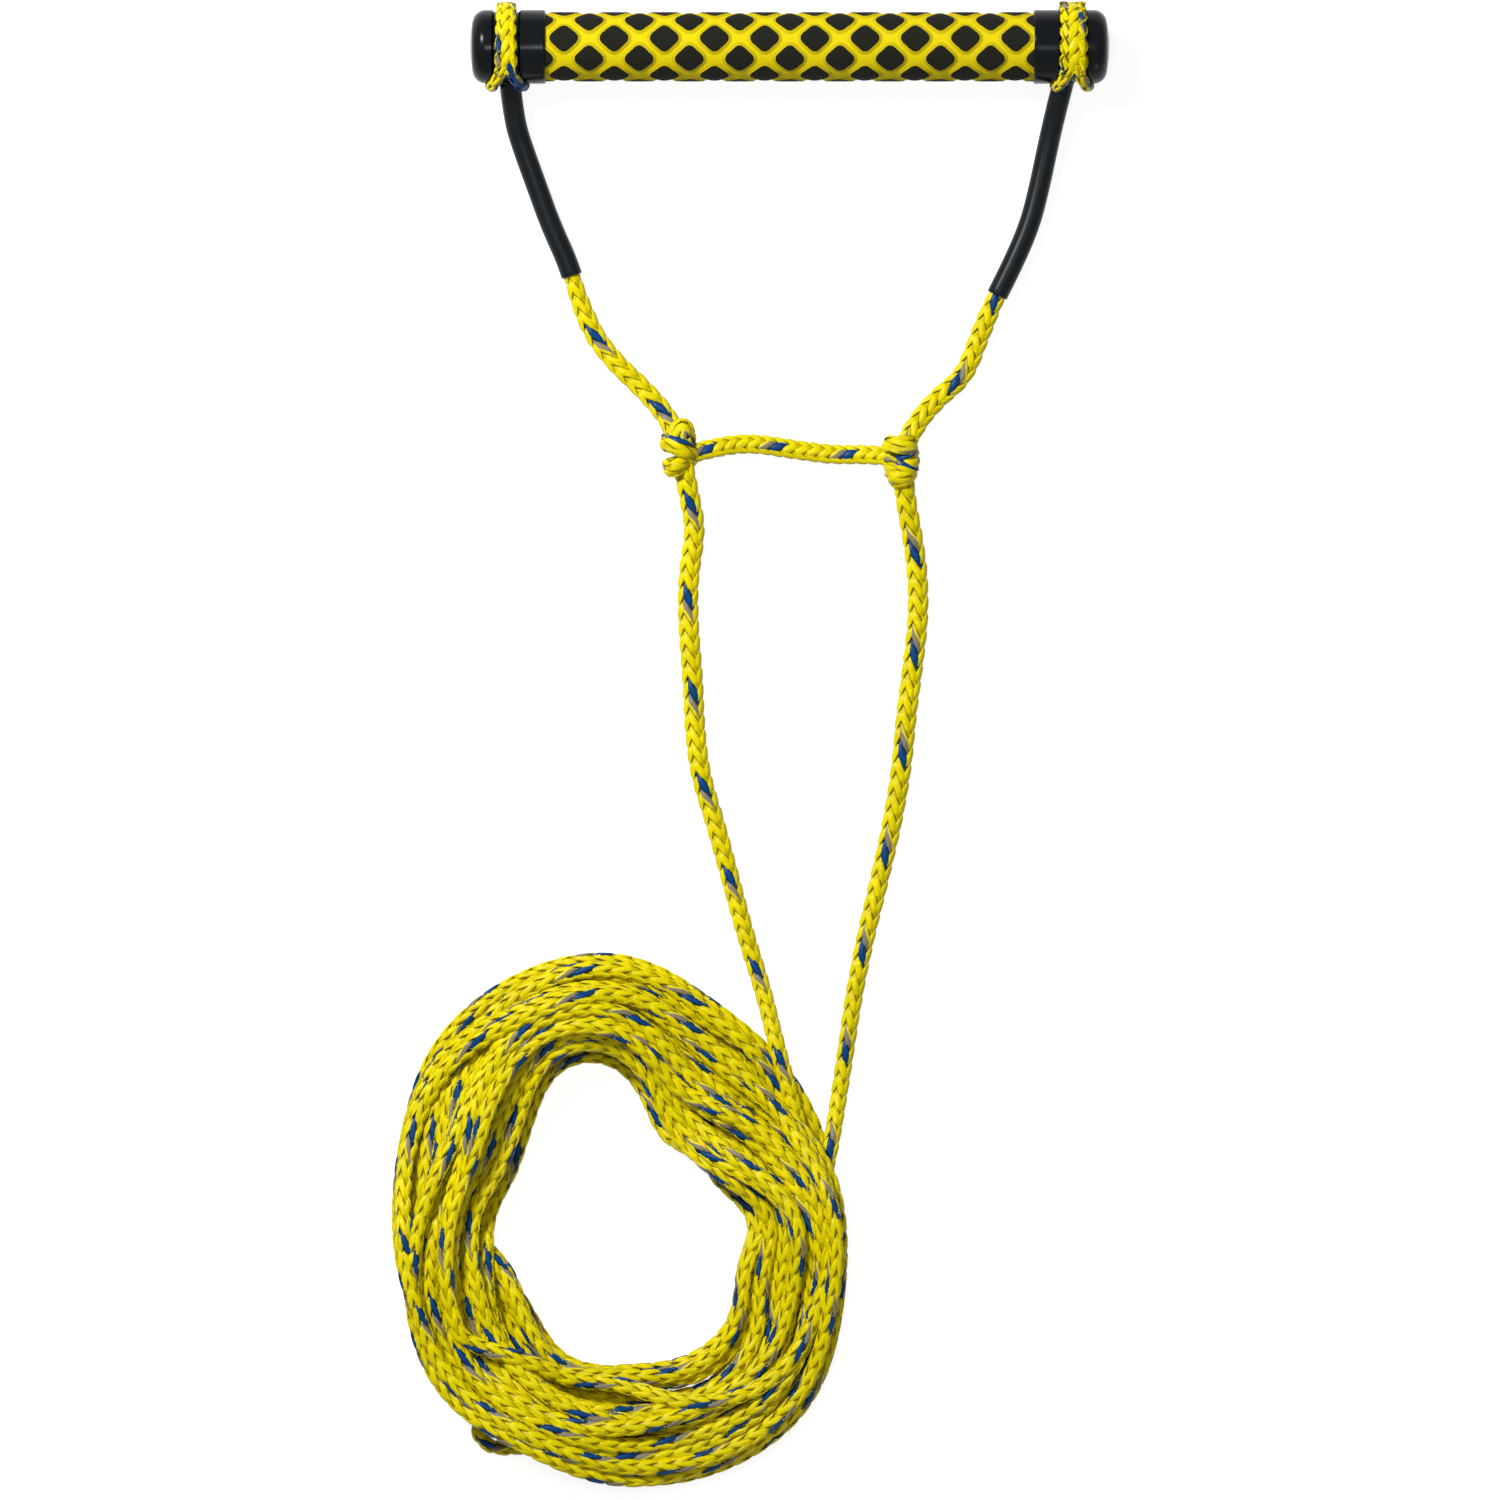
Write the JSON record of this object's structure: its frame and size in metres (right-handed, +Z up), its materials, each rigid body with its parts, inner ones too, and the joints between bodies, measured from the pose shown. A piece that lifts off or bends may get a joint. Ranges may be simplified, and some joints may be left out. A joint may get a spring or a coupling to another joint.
{
  "type": "tow rope handle",
  "caption": "Floating foam-grip bar that turns in two rope eyes, with chafe hoses, knotted rope bridle, cross rope and a coiled braided tow line.",
  "frame": {"origin": "on the floor under the middle of the bar", "axes": "+X along the bar, -Y from the bar towards the bridle and coil, +Z up"},
  "size_m": [0.3432, 0.7106, 0.044],
  "materials": {
    "tube": "drawn tube, satin",
    "plug": "moulded stopper",
    "foam_yellow": "closed-cell foam, matt",
    "foam_black": "closed-cell foam, matt",
    "cap": "moulded soft vinyl, glossy",
    "hose": "extruded vinyl tube",
    "rope": "hollow-braided polyethylene, one blue and one grey yarn"
  },
  "bodies": {
    "bridle_and_line": {"rope_eye_left": "rope", "rope_eye_right": "rope", "hose_left": "hose", "hose_right": "hose", "upper_leg_left": "rope", "upper_leg_right": "rope", "cross_rope": "rope", "lower_leg_left": "rope", "lower_leg_right": "rope", "main_line_coil": "rope", "tow_eye": "rope", "knot_left": "rope", "knot_right": "rope"},
    "bar": {"core_tube": "tube", "tube_plug_left": "plug", "tube_plug_right": "plug", "grip_sleeve": "foam_yellow", "grip_diamonds": "foam_black", "end_cap_left": "cap", "end_cap_right": "cap"}
  },
  "joints": [
    {"name": "bar_spin", "type": "hinge", "parent": "bridle_and_line", "child": "bar", "pos_m": [0, 0, 0.022], "axis": [1, 0, 0], "continuous": true}
  ]
}
